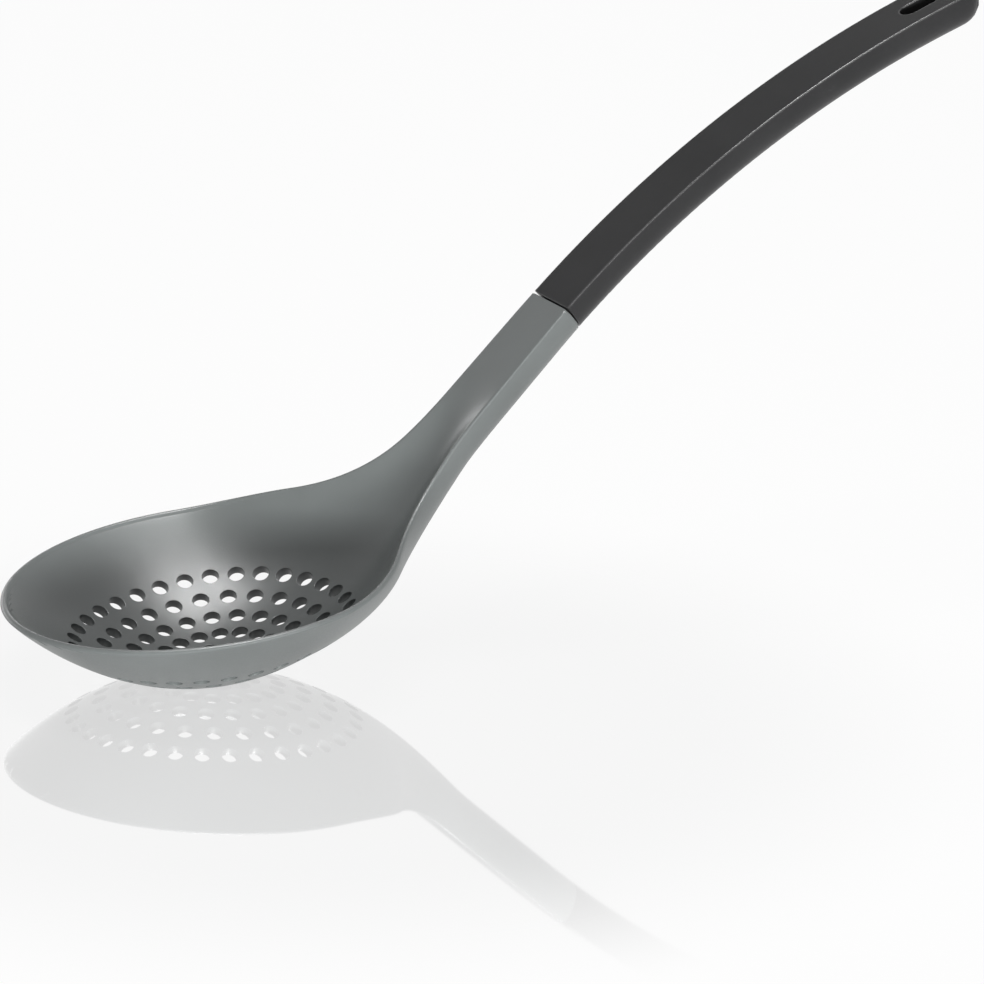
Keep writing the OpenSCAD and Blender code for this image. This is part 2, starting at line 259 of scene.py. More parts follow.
@dataclass
class Moulding:
    """A closed moulding: a top sheet and an under sheet, joined round their outlines by a rounded edge.

    A point of a sheet is given by its length s along the top line and its arc q, from the middle to the side.
    Each kind of moulding also sets axes, the directions of its openings from the under side to the top.

    Attributes:
        round_r: Radius of the edge's roundings.
        hole_round: Radius of the rounding of an opening's mouth.
        hole_margin: Width of the ring of faces round that rounding.
        spacing: Distance between the points that fill a sheet, along a row.
        row_share: Distance between those rows, compared with the spacing.
        rim_share: Least distance from those points to the outline, compared with the spacing.
        mouth_share: Least distance from them to a mouth, compared with the spacing.
        bend: How far straight outlines are bent inwards while the faces are laid.
        least_area: Area under which a face that spans an outline is a flat sliver.
        edge_steps: Number of steps over the edge.
        step_share: Longest rounding, compared with the edge's width.
        narrow_share: Width under which an edge has no land, compared with the radius.
        lip_share: Share of such an edge that its steps on either side take up.
        mouth_rows: Shares of the way round a mouth's rounding that have a row of points.
    """

    line: TopLine
    stance: Stance
    round_r: float = 0.55
    hole_round: float = 0.3
    hole_margin: float = 0.15
    spacing: float = 1.7
    row_share: float = 0.87
    rim_share: float = 0.6
    mouth_share: float = 0.5
    bend: float = 0.0
    least_area: float = 1e-4
    edge_steps: int = 9
    step_share: float = 0.42
    narrow_share: float = 0.5
    lip_share: float = 0.44
    mouth_rows: tuple[float, ...] = (0.0, 0.35, 0.65, 1.0)

    def half(self, side: Side, s: Array) -> Array:
        """Return the half-width of a sheet at lengths s."""
        raise NotImplementedError

    def depth(self, side: Side, s: Array, f: Array) -> Array:
        """Return how far a sheet lies under the top line, at lengths s and angles f across."""
        raise NotImplementedError

    def outline(self, side: Side) -> tuple[Array, Array]:
        """Return the outline of a sheet in sheet coordinates, and the edge outside it as points."""
        raise NotImplementedError

    def mouths(self, side: Side, grow: float) -> Array:
        """Return the outlines of all openings on a sheet, grown by a length, in sheet coordinates."""
        raise NotImplementedError

    def at(self, side: Side, s: Array, f: Array) -> Array:
        """Return points of a sheet at lengths s and angles f across, in the bowl's frame."""
        return self.line.place(s, self.half(side, s) * np.sin(f), -self.depth(side, s, f))

    def spot(self, side: Side, sq: Array) -> Array:
        """Return points of a sheet given in sheet coordinates, in the bowl's frame."""
        s = sq[..., 0]
        return self.at(side, s, np.clip(sq[..., 1] / self.half(side, s), -math.pi / 2, math.pi / 2))

    def sheet_coords(self, side: Side, s: Array, y: Array) -> Array:
        """Return sheet coordinates of points at lengths s and distances y to the side."""
        h = self.half(side, s)
        return np.stack([s, h * np.arcsin(np.clip(y / h, -1.0, 1.0))], axis=-1)

    def filler(self, side: Side, loop: Array, holes: list) -> Array:
        """Spread points evenly over a sheet, clear of its outline and openings.

        Args:
            side: The sheet.
            loop: Its outline in sheet coordinates.
            holes: Outlines of its openings in sheet coordinates.

        Returns:
            Sheet coordinates, one point per row.
        """
        low, high = loop.min(axis=0), loop.max(axis=0)
        rows = np.arange(low[0], high[0], self.spacing * self.row_share)
        cols = np.arange(low[1], high[1], self.spacing)
        s, q = np.meshgrid(rows, cols, indexing="ij")
        q = q + np.where(np.arange(len(rows)) % 2, self.spacing / 2, 0.0)[:, None]
        points = np.stack([s.ravel(), q.ravel()], axis=1)
        points = points[inside_loop(points, loop)]
        points = points[nearest(points, loop) > self.spacing * self.rim_share]
        for hole in holes:
            middle, reach = hole.mean(axis=0), self.spacing * self.mouth_share
            near = np.abs(points - middle).max(axis=1) < np.abs(hole - middle).max() + reach
            clear = np.ones(len(points), bool)
            clear[near] = ~inside_loop(points[near], hole) & (nearest(points[near], hole) > reach)
            points = points[clear]
        return points

    def bent(self, flat: Array, loop: Array) -> Array:
        """Bend straight outlines inwards, so that no face inside the sheet is a flat sliver on them.

        Args:
            flat: Sheet coordinates, one point per row.
            loop: The sheet's outline.

        Returns:
            The points where they lie while their faces are made.
        """
        s, q = flat[:, 0], flat[:, 1]
        first, last = loop[:, 0].min(), loop[:, 0].max()
        along = (2 * s - first - last) / (last - first)
        return np.stack([s - self.bend * q**2, q * (1 + self.bend * along**2)], axis=1)

    def lay_sheet(self, bm: bmesh.types.BMesh, side: Side) -> tuple[list, list]:
        """Make one sheet with its openings.

        Args:
            bm: The mesh to add to.
            side: The sheet.

        Returns:
            The outline's vertices, and a list of vertices for each opening.
        """
        loop = self.outline(side)[0]
        holes = list(self.mouths(side, self.hole_round + self.hole_margin))
        parts = [loop, *holes]
        owner = np.concatenate([np.full(len(p), i) for i, p in enumerate(parts)])
        starts = np.cumsum([0] + [len(p) for p in parts])
        edges = []
        for first, part in zip(starts, parts):
            edges += [(int(first + i), int(first + (i + 1) % len(part))) for i in range(len(part))]
        flat = np.concatenate([*parts, self.filler(side, loop, holes)])
        owner = np.concatenate([owner, np.full(len(flat) - len(owner), -1)])
        laid = self.bent(flat, loop)
        found = delaunay_2d_cdt([Vector(p) for p in laid], edges, [], ALL_TRIANGLES, POINT_GAP)
        back = [old[0] for old in found[3]]
        tris = np.array([[back[i] for i in face] for face in found[2]])
        same = (owner[tris[:, 0]] == owner[tris[:, 1]]) & (owner[tris[:, 0]] == owner[tris[:, 2]])
        drop = same & (owner[tris[:, 0]] > 0)
        rim = np.nonzero(same & (owner[tris[:, 0]] == 0))[0]
        reach = laid[tris[rim, 1:]] - laid[tris[rim, :1]]
        area = np.abs(np.cross(reach[:, 0], reach[:, 1])) / 2
        kept = inside_loop(laid[tris[rim]].mean(axis=1), laid[:len(loop)]) & (area >= self.least_area)
        drop[rim] = ~kept
        verts = [bm.verts.new(p) for p in self.stance.stood(self.spot(side, flat))]
        for a, b, c in tris[~drop]:
            bm.faces.new((verts[a], verts[b], verts[c]))
        cut = [verts[first:first + len(p)] for first, p in zip(starts, parts)]
        return cut[0], cut[1:]

    def draw_out(self, bm: bmesh.types.BMesh, loops: list, places: Array) -> list:
        """Extrude closed loops of vertices and put the new vertices in their places.

        Args:
            bm: The mesh.
            loops: For each loop, its vertices in order.
            places: For each loop, a point for each vertex, in the bowl's frame.

        Returns:
            For each loop, the new vertices in the same order.
        """
        edges = [bm.edges.get(pair) for loop in loops for pair in zip(loop, loop[1:] + loop[:1])]
        made = bmesh.ops.extrude_edge_only(bm, edges=edges)["geom"]
        new = {v for v in made if isinstance(v, bmesh.types.BMVert)}
        drawn = []
        for loop, row in zip(loops, self.stance.stood(places)):
            drawn.append([])
            for vert, place in zip(loop, row):
                copy = next(e.other_vert(vert) for e in vert.link_edges if e.other_vert(vert) in new)
                copy.co = place
                drawn[-1].append(copy)
        return drawn

    def join(self, bm: bmesh.types.BMesh, loops: list, targets: list, places: Array) -> None:
        """Extrude loops on to other loops of as many vertices and weld each pair."""
        weld = {}
        for drawn, target in zip(self.draw_out(bm, loops, places), targets):
            weld.update(zip(drawn, target))
        bmesh.ops.weld_verts(bm, targetmap=weld)

    def edge_rows(self) -> list:
        """Return the rows of points over the edge: from the top a rounding, a land and a second rounding."""
        (top_sq, e_top), (under_sq, e_under) = self.outline(Side.TOP), self.outline(Side.UNDER)
        a_top, a_under = self.spot(Side.TOP, top_sq), self.spot(Side.UNDER, under_sq)
        across = e_under - e_top
        width = np.linalg.norm(across, axis=1, keepdims=True)
        step = across * np.minimum(self.step_share, self.round_r / np.maximum(width, LEAST))
        wide = width > self.round_r * self.narrow_share
        b_top, b_under = e_top + step, e_under - step
        rows, half, lip = [], (self.edge_steps - 1) // 2, self.lip_share
        upper, lower = (a_top, e_top, b_top), (b_under, e_under, a_under)
        for rounding, first, start in ((upper, 1, 0.0), (lower, 0, 1 - lip)):
            for k in range(first, first + half):
                plain = arc(a_top, e_top, a_under, start + lip * (k / half))
                rows.append(np.where(wide, arc(*rounding, k / half), plain))
        return rows

    def round_edge(self, bm: bmesh.types.BMesh, top: list, under: list) -> None:
        """Join the outlines of the two sheets over the moulding's edge."""
        loops, edge = [top], bm.verts.layers.float[EDGE]
        for row in self.edge_rows():
            loops = self.draw_out(bm, loops, row[None])
            for vert in loops[0]:
                vert[edge] = 1.0
        self.join(bm, loops, [under], self.spot(Side.UNDER, self.outline(Side.UNDER)[0])[None])

    def pierce(self, bm: bmesh.types.BMesh, loops: dict) -> None:
        """Give all openings their rounded edges and their walls."""
        inner, last, edge = {}, {}, bm.verts.layers.float[EDGE]
        for side in Side:
            a = self.spot(side, self.mouths(side, self.hole_round))
            e = self.spot(side, self.mouths(side, 0.0))
            last[side] = e - side.value * self.hole_round * self.axes[:, None, :]
            inner[side] = loops[side]
            for t in self.mouth_rows:
                inner[side] = self.draw_out(bm, inner[side], arc(a, e, last[side], t))
                for vert in (vert for loop in inner[side] for vert in loop):
                    vert[edge] = 1.0 if 0.0 < t < 1.0 else 0.0
        self.join(bm, inner[Side.TOP], inner[Side.UNDER], last[Side.UNDER])

    def build(self, name: str) -> bpy.types.Object:
        """Make the moulding's mesh and put it in the scene.

        Args:
            name: Name of the object.

        Returns:
            The object, at the origin.
        """
        bm = bmesh.new()
        bm.verts.layers.float.new(EDGE)
        rims, holes = {}, {}
        for side in Side:
            rims[side], holes[side] = self.lay_sheet(bm, side)
        self.round_edge(bm, rims[Side.TOP], rims[Side.UNDER])
        self.pierce(bm, holes)
        bmesh.ops.recalc_face_normals(bm, faces=bm.faces)
        for face in bm.faces:
            face.smooth = True
        piece = put_mesh(name, bm)
        LOG.info("%s has %d faces", name, len(piece.data.polygons))
        return piece


@dataclass
class SpoonHead(Moulding):
    """The nylon head: a deep oval bowl with rings of drain holes, whose heel rises into the neck.

    Attributes:
        dome, hollow_dome: Powers of the arches that the outside and the inside follow.
        pattern_w: Width of the outermost ring of holes.
        pattern_back: Length by which the pattern's middle lies behind the bowl's.
        ring_stretch: Length of a ring, compared with its width.
        ring_counts: Number of holes in each ring, from the outermost inwards.
        ring_turns: Turn of each ring from the handle's side, in steps of its holes.
        shoulder_in, belly_in: Lengths before the oval's end at which the shoulders and the belly leave it.
        scoop_length: Length over which the scoop fades into the flat top of the neck.
        rim_steps: Steps along each side, round the tip, and across the seam.
        slope_step: Distance over which the slope of the floor is measured.
        low_steps: First length, and number of places, at which the lowest point is looked for.
        place_reach, place_tries: How far ahead, and in how many halvings, a point of a sheet is looked for.
        mouth_tries: Number of steps in which a mouth is brought on to its sheet.
    """

    bowl_width: float = 106.0
    bowl_depth: float = 29.0
    floor_t: float = 2.6
    rim_t: float = 2.2
    rim_round: float = 1.0
    neck_round: float = 0.5
    dome: float = 0.94
    hollow_dome: float = 1.05
    hole_d: float = 4.6
    hole_round: float = 0.14
    hole_margin: float = 0.04
    hole_sides: int = 28
    pattern_w: float = 67.5
    pattern_back: float = 1.0
    ring_step: float = 6.35
    ring_stretch: float = 1.155
    ring_counts: tuple[int, ...] = (33, 25, 21, 18, 10)
    ring_turns: tuple[float, ...] = (0.11, 0.04, 0.95, 0.08, 0.1)
    round_r: float = 0.2
    neck_w: float = 20.5
    neck_depth: float = 11.5
    seam_w: float = 19.0
    shoulder_in: float = 12.0
    shoulder_length: float = 53.0
    belly_in: float = 46.0
    belly_length: float = 72.0
    scoop_length: float = 97.0
    rim_steps: tuple[int, int, int] = (104, 132, 18)
    slope_step: float = 1.0
    low_steps: tuple[float, int] = (0.5, 800)
    place_reach: float = 5.0
    place_tries: int = 36
    mouth_tries: int = 6

    def __post_init__(self) -> None:
        """Work out the oval, the hollow inside it, and the middles and directions of the drain holes."""
        self.oval = (self.line.oval_length / 2, self.bowl_width / 2)
        self.hollow = (self.oval[0] - self.rim_t, self.oval[1] - self.rim_t)
        self.shoulder_at = self.line.oval_length - self.shoulder_in
        self.slim_at = self.shoulder_at + self.shoulder_length
        self.belly_at = self.line.oval_length - self.belly_in
        x, y = self.hole_places()
        self.middles = self.over(Side.TOP, x, y)
        d = self.slope_step
        k_x = (self.over(Side.TOP, x + d, y) - self.over(Side.TOP, x - d, y))[:, 2] / (2 * d)
        k_y = (self.over(Side.TOP, x, y + d) - self.over(Side.TOP, x, y - d))[:, 2] / (2 * d)
        up = np.stack([-k_x, -k_y, 0 * x + 1], axis=1)
        self.axes = up / np.linalg.norm(up, axis=1, keepdims=True)

    def floor_drop(self) -> float:
        """Return how far the lowest point of the tilted bowl lies under its tip."""
        first, count = self.low_steps
        s = np.linspace(first, self.line.heel_at, count)
        return -float(self.stance.turned(self.at(Side.UNDER, s, 0 * s))[:, 2].min())

    def fade(self, s: Array) -> Array:
        """Return 0 on the bowl's rim, rising to 1 on the neck."""
        return ease((s - self.line.heel_at) / (self.slim_at - self.line.heel_at))

    def rim_half_t(self, s: Array) -> Array:
        """Return half the thickness of the rim at lengths s."""
        return self.rim_t / 2 + (self.neck_round - self.rim_t / 2) * self.fade(s)

    def rounding(self, side: Side, s: Array) -> Array:
        """Return the height of the rim's rounding above a sheet at lengths s."""
        end = 0.0 if side is Side.TOP else self.neck_round
        return self.rim_round + (end - self.rim_round) * self.fade(s)

    def rim_half(self, s: Array) -> Array:
        """Return the half-width over the rim and neck at lengths s."""
        (a, b), at, slim_at = self.oval, self.shoulder_at, self.slim_at
        oval = arch(s - a, a, b, ELLIPSE)
        taper = (self.seam_w - self.neck_w) / 2 / (self.line.seam_at - slim_at)
        slim = self.neck_w / 2 + taper * (s - slim_at)
        start = arch_start(at - a, a, b, ELLIPSE)
        long = self.shoulder_length
        shoulder = blend((s - at) / long, long, start, (self.neck_w / 2, taper))
        return np.where(s <= at, oval, np.where(s >= slim_at, slim, shoulder))

    def half(self, side: Side, s: Array) -> Array:
        """Return the half-width of a sheet at lengths s."""
        s = np.asarray(s, float)
        if side is Side.UNDER:
            return np.maximum(self.rim_half(s), LEAST)
        front = arch(s - self.oval[0], self.hollow[0], self.hollow[1], ELLIPSE)
        back = self.rim_half(s) - 2 * self.rim_half_t(s)
        return np.maximum(np.where(s <= self.oval[0], front, back), LEAST)

    def fall(self, s: Array, dome: tuple, length: float, end: float) -> Array:
        """Find the depth along a dome that eases to another depth towards the neck.

        Args:
            s: Lengths from the tip.
            dome: Reach, depth and power of the dome.
            length: Length over which it eases.
            end: Depth at the neck.

        Returns:
            The depth at each s.
        """
        a, at = self.oval[0], self.belly_at
        start = arch_start(at - a, *dome)
        tail = blend((s - at) / length, length, start, (end, 0.0))
        return np.where(s <= at, arch(s - a, *dome), tail)

    def depth(self, side: Side, s: Array, f: Array) -> Array:
        """Return how far a sheet lies under the top line, at lengths s and angles f across."""
        s, across = np.asarray(s, float), np.maximum(np.cos(f), 0.0)
        if side is Side.TOP:
            dome = (self.hollow[0], self.bowl_depth - self.floor_t - self.rim_round, self.hollow_dome)
            deep, power = self.fall(s, dome, self.scoop_length, 0.0), self.hollow_dome
        else:
            dome = (self.oval[0], self.bowl_depth - self.rim_round, self.dome)
            deep = self.fall(s, dome, self.belly_length, self.neck_depth - self.neck_round)
            power = self.dome + (ELLIPSE - self.dome) * ease((s - self.belly_at) / self.belly_length)
        return self.rounding(side, s) + deep * across ** (2 * power)

    def rim_run(self, inset: Array) -> tuple[Array, Array]:
        """Follow the rim from the seam round the tip and back to the seam.

        Args:
            inset: For each station, the distance from the outside of the rim.

        Returns:
            Lengths s, and distances y to the side.
        """
        back, front, _ = self.rim_steps
        (a, b), mid = self.oval, inset[back + 1:-back - 1]
        s = np.linspace(self.line.seam_at - self.round_r, a, back + 1)
        turn = np.linspace(math.pi / 2, -math.pi / 2, front + 1)[1:-1]
        near, far = self.rim_half(s) - inset[:back + 1], self.rim_half(s) - inset[:-back - 2:-1]
        s_run = np.concatenate([s, a - (a - mid) * np.cos(turn), s[::-1]])
        return s_run, np.concatenate([near, (b - mid) * np.sin(turn), -far[::-1]])

    def rim_base(self) -> tuple[Array, Array]:
        """Return the lengths s and the distances y to the side along the outside of the rim."""
        back, front, _ = self.rim_steps
        return self.rim_run(np.zeros(2 * back + front + 1))

    def rim_row(self, g: float) -> Array:
        """Return the points of the rim's rounding at an angle g, which is 0 on its outside."""
        s = self.rim_base()[0]
        s_run, y = self.rim_run(self.rim_half_t(s) * (1 - math.cos(g)))
        if g <= math.pi / 2:
            return self.line.place(s_run, y, -self.rounding(Side.UNDER, s) * (1 - math.sin(g)))
        return self.line.place(s_run, y, -self.rounding(Side.TOP, s) * math.cos(g) ** 2)

    def edge_rows(self) -> list:
        """Return the rows of points over the edge: the rounded rim, and the neck's end at the seam."""
        rows = super().edge_rows()
        for k, row in enumerate(rows):
            rim = self.rim_row(math.pi * (1 - (k + 1) / self.edge_steps))
            row[:len(rim)] = rim
        return rows

    def outline(self, side: Side) -> tuple[Array, Array]:
        """Return the outline of a sheet in sheet coordinates, and the edge outside it as points."""
        back, front, across = self.rim_steps
        (s, y), seam = self.rim_base(), self.line.seam_at
        if side is Side.TOP:
            s = self.rim_run(2 * self.rim_half_t(s))[0]
        f = np.sign(y) * math.pi / 2
        f[back + front // 2] = 0.0
        f_seam = np.linspace(f[-1], f[0], across + 2)[1:-1]
        edge = np.concatenate([self.at(side, s, f), self.at(side, np.full(across, seam), f_seam)])
        s = np.concatenate([s, np.full(across, seam - self.round_r)])
        return np.stack([s, np.concatenate([f, f_seam]) * self.half(side, s)], axis=1), edge

    def hole_places(self) -> tuple[Array, Array]:
        """Return where the drain holes are from above: one in the middle, and oval rings round it."""
        x, y = [0.0], [0.0]
        for ring, (count, turn) in enumerate(zip(self.ring_counts, self.ring_turns)):
            b = self.pattern_w / 2 - ring * self.ring_step
            f = 2 * math.pi * (np.arange(count) + turn) / count
            x += list(b * self.ring_stretch * np.cos(f))
            y += list(b * np.sin(f))
        return self.oval[0] + self.pattern_back + np.array(x), np.array(y)

    def over(self, side: Side, x: Array, y: Array) -> Array:
        """Return the points of a sheet over x and y."""
        return self.at(side, *self.sheet_place(side, x, y))

    def sheet_place(self, side: Side, x: Array, y: Array) -> tuple[Array, Array]:
        """Return the lengths s and angles f at which a sheet passes over x and y."""
        low, high = x - self.bowl_depth, x + self.place_reach
        for _ in range(self.place_tries):
            s = (low + high) / 2
            f = np.arcsin(np.clip(y / self.half(side, s), -1.0, 1.0))
            past = self.at(side, s, f)[..., 0] > x
            low, high = np.where(past, low, s), np.where(past, s, high)
        return s, f

    def mouths(self, side: Side, grow: float) -> Array:
        """Return the outlines of all drain holes on a sheet, grown by a length, in sheet coordinates."""
        turn = 2 * math.pi * np.arange(self.hole_sides) / self.hole_sides
        along = np.stack([self.axes[:, 2], 0 * self.axes[:, 2], -self.axes[:, 0]], axis=1)
        along /= np.linalg.norm(along, axis=1, keepdims=True)
        beside = np.cross(self.axes, along)
        ring = np.cos(turn)[:, None] * along[:, None, :] + np.sin(turn)[:, None] * beside[:, None, :]
        ring = self.middles[:, None, :] + (self.hole_d / 2 + grow) * ring
        reach = np.full(ring.shape[:2], 0.0 if side is Side.TOP else -self.floor_t)
        for _ in range(self.mouth_tries):
            p = ring + reach[..., None] * self.axes[:, None, :]
            s, f = self.sheet_place(side, p[..., 0], p[..., 1])
            reach += (self.at(side, s, f)[..., 2] - p[..., 2]) * self.axes[:, None, 2]
        return np.stack([s, f * self.half(side, s)], axis=-1)


@dataclass
class Grip(Moulding):
    """The black grip: a flat top over a round belly, a rounded end and a hanging slot.

    Attributes:
        end_depth: Depth left at the very end, compared with the full depth.
        seam_gap: Width of the open groove at the seam.
        seam_round: Rounding of the edge along that groove.
        side_steps: Steps along a side and round the end.
        end_steps: Steps across the seam and across the end.
        slot_steps: Points round an end of the slot and along its side.
        end_short: How far the round sides stop before the end.
        lean_limit: Largest sine of the angle that the belly leaves to the edge.
        end_share: Least distance of the belly from the end, compared with the edge's radius.
    """

    seam_w: float = 19.0
    end_w: float = 18.5
    grip_depth: float = 11.5
    end_round: float = 7.5
    end_depth: float = 0.45
    bend: float = 0.005
    seam_gap: float = 0.5
    seam_round: float = 0.2
    slot_w: float = 6.0
    slot_length: float = 16.5
    slot_from_end: float = 7.5
    hole_round: float = 0.55
    spacing: float = 2.0
    side_steps: tuple[int, int] = (110, 26)
    end_steps: tuple[int, int] = (18, 9)
    slot_steps: tuple[int, int] = (15, 7)
    end_short: float = 1e-6
    lean_limit: float = 0.6
    end_share: float = 0.35

    def __post_init__(self) -> None:
        """Work out where the grip starts and rounds off, and its slot."""
        self.start_at = self.line.seam_at + self.seam_gap
        self.round_at = self.line.end_at - self.end_round
        self.slot_at = self.line.end_at - self.slot_from_end - self.slot_length / 2
        k = float(self.line.slope(np.array(self.slot_at)))
        self.axes = np.array([[-math.sin(k), 0.0, math.cos(k)]])

    def round_off(self, s: Array) -> Array:
        """Return 1 along the grip, falling to 0 round its end."""
        return np.sqrt(np.maximum(0.0, 1 - (np.maximum(s - self.round_at, 0.0) / self.end_round) ** 2))

    def half(self, side: Side, s: Array) -> Array:
        """Return the half-width of a sheet at lengths s."""
        s = np.asarray(s, float)
        taper = (self.end_w - self.seam_w) * (s - self.line.seam_at) / self.line.handle_length
        return (self.seam_w + taper) / 2 - self.end_round * (1 - self.round_off(s))

    def depth(self, side: Side, s: Array, f: Array) -> Array:
        """Return how far a sheet lies under the top line, at lengths s and angles f across."""
        if side is Side.TOP:
            return 0 * f
        full = self.end_depth + (1 - self.end_depth) * self.round_off(s)
        return self.grip_depth * full * np.maximum(np.cos(f), 0.0)

    def outline(self, side: Side) -> tuple[Array, Array]:
        """Return the outline of a sheet in sheet coordinates, and the edge outside it as points."""
        along, turn = self.side_steps
        start, tail = self.end_steps
        d, d_seam, end = self.round_r, self.seam_round, self.line.end_at
        run = np.linspace(self.start_at + d_seam, self.round_at, along)
        bow = self.round_at + self.end_round * np.sin(np.linspace(0.0, math.pi / 2, turn + 1)[1:])
        bow[-1] = end - self.end_short
        s_side = np.concatenate([run, bow])
        edge_y = self.half(side, s_side)
        y_end = np.linspace(edge_y[-1], -edge_y[-1], tail + 2)[1:-1]
        y_start = np.linspace(-edge_y[0], edge_y[0], start + 2)[1:-1]
        s = np.concatenate([s_side, np.full(tail, end), s_side[::-1], np.full(start, self.start_at)])
        y = np.concatenate([edge_y, y_end, -edge_y[::-1], y_start])
        edge_f = np.arcsin(np.clip(y / self.half(side, s), -1.0, 1.0))
        edge = self.at(side, s, edge_f)
        if side is Side.TOP:
            flat = np.stack([s, y], axis=1)
            way = np.roll(flat, -1, axis=0) - np.roll(flat, 1, axis=0)
            way /= np.linalg.norm(way, axis=1, keepdims=True)
            inset = np.where(s == self.start_at, d_seam, d)[:, None]
            inner = flat + inset * np.stack([-way[:, 1], way[:, 0]], axis=1)
            inner = np.where(inside_loop(inner, flat)[:, None], inner, 2 * flat - inner)
            return self.sheet_coords(side, inner[:, 0], inner[:, 1]), edge
        count = len(s_side)
        deep = np.maximum(self.depth(side, s, np.zeros(len(s))), LEAST)
        lean = np.arcsin(np.minimum(self.lean_limit, d / deep))
        f = np.clip(edge_f, -math.pi / 2 + lean, math.pi / 2 - lean)
        s_in = s.copy()
        s_in[count:count + tail] = end - d
        s_in[2 * count + tail:] = self.start_at + d_seam
        s_in = np.minimum(s_in, end - d * self.end_share)
        return np.stack([s_in, f * self.half(side, s_in)], axis=1), edge

    def mouths(self, side: Side, grow: float) -> Array:
        """Return the outline of the hanging slot on a sheet, grown by a length, in sheet coordinates."""
        reach, r = (self.slot_length - self.slot_w) / 2, self.slot_w / 2 + grow
        round_steps, side_steps = self.slot_steps
        turn = np.linspace(-math.pi / 2, math.pi / 2, round_steps)
        straight = np.linspace(-reach, reach, side_steps)[1:-1]
        a = np.concatenate([reach + r * np.cos(turn), straight[::-1], -reach - r * np.cos(turn), straight])
        b = np.concatenate([r * np.sin(turn), 0 * straight + r, -r * np.sin(turn), 0 * straight - r])
        under = self.depth(side, np.full(len(a), self.slot_at), np.arcsin(b / self.half(side, self.slot_at)))
        s = self.slot_at + self.line.handle_radius * np.arcsin(a / (self.line.handle_radius - under))
        return self.sheet_coords(side, s, b)[None]


def add_node(tree: bpy.types.NodeTree, kind: str, values: dict) -> bpy.types.Node:
    """Add a shader node.

    Args:
        tree: The tree to add to.
        kind: Kind of node, without its prefix.
        values: Constant values, by the names or numbers of their inputs.

    Returns:
        The node.
    """
    node = tree.nodes.new("ShaderNode" + kind)
    for key, value in values.items():
        node.inputs[key].default_value = value
    return node


def map_range(tree: bpy.types.NodeTree, start: Pair, end: Pair) -> bpy.types.Node:
    """Add a node that turns one range into another."""
    ends = dict(zip(("From Min", "From Max", "To Min", "To Max"), (*start, *end)))
    return add_node(tree, "MapRange", ends)


def mix_shaders(tree: bpy.types.NodeTree, *sockets: bpy.types.NodeSocket) -> bpy.types.NodeSocket:
    """Mix the second and third socket by the share in the first."""
    mix = add_node(tree, "MixShader", {})
    for socket, end in zip(sockets, mix.inputs):
        tree.links.new(socket, end)
    return mix.outputs["Shader"]


@dataclass(frozen=True)
class MouldedPlastic:
    """A moulded plastic with a fine sandblasted grain and faint clouding, each made from noise.

    Attributes:
        low, high: Colours of the darker and the lighter clouds.
        rough: Roughness, from and to.
        specular: Level of the plain reflection.
        grain, grain_depth: Size and height of the grain in metres.
        edge_polish: Clear gloss on the edges, which handling has rubbed smooth, from 0 to 1.
        polish_rough: Roughness of that gloss.
        bump: Strength of the grain.
        cloud_scale: Number of clouds per metre.
        cloud_detail, grain_detail: Octaves of the noise.
        cloud_range, grain_range: Part of the noise over which the colour and the roughness change.
    """

    name: str
    low: Triple
    high: Triple
    rough: Pair
    specular: float
    grain: float
    grain_depth: float = 0.00002
    edge_polish: float = 0.0
    polish_rough: float = 0.27
    bump: float = 0.5
    cloud_scale: float = 28.0
    cloud_detail: float = 4.0
    cloud_range: Pair = (0.35, 0.65)
    grain_detail: float = 2.0
    grain_range: Pair = (0.3, 0.7)

    def material(self) -> bpy.types.Material:
        """Return the material, made from nodes on object coordinates."""
        mat = bpy.data.materials.new(self.name)
        mat.use_nodes = True
        tree, links = mat.node_tree, mat.node_tree.links
        shader = tree.nodes["Principled BSDF"]
        shader.inputs["Specular IOR Level"].default_value = self.specular
        place = add_node(tree, "TexCoord", {})
        clouds = add_node(tree, "TexNoise", {"Scale": self.cloud_scale, "Detail": self.cloud_detail})
        links.new(place.outputs["Object"], clouds.inputs["Vector"])
        tone = add_node(tree, "ValToRGB", {})
        colours = zip(tone.color_ramp.elements, self.cloud_range, (self.low, self.high))
        for stop, where, colour in colours:
            stop.position, stop.color = where, (*colour, 1.0)
        links.new(clouds.outputs["Fac"], tone.inputs["Fac"])
        links.new(tone.outputs["Color"], shader.inputs["Base Color"])
        grain = add_node(tree, "TexNoise", {"Scale": 1.0 / self.grain, "Detail": self.grain_detail})
        links.new(place.outputs["Object"], grain.inputs["Vector"])
        gloss = map_range(tree, self.grain_range, self.rough)
        links.new(grain.outputs["Fac"], gloss.inputs["Value"])
        links.new(gloss.outputs["Result"], shader.inputs["Roughness"])
        bump = add_node(tree, "Bump", {"Strength": self.bump, "Distance": self.grain_depth})
        links.new(grain.outputs["Fac"], bump.inputs["Height"])
        links.new(bump.outputs["Normal"], shader.inputs["Normal"])
        if self.edge_polish:
            rubbed = add_node(tree, "Attribute", {})
            rubbed.attribute_name = EDGE
            polish = add_node(tree, "Math", {1: self.edge_polish})
            polish.operation = "MULTIPLY"
            links.new(rubbed.outputs["Fac"], polish.inputs[0])
            links.new(polish.outputs["Value"], shader.inputs["Coat Weight"])
            shader.inputs["Coat Roughness"].default_value = self.polish_rough
        return mat


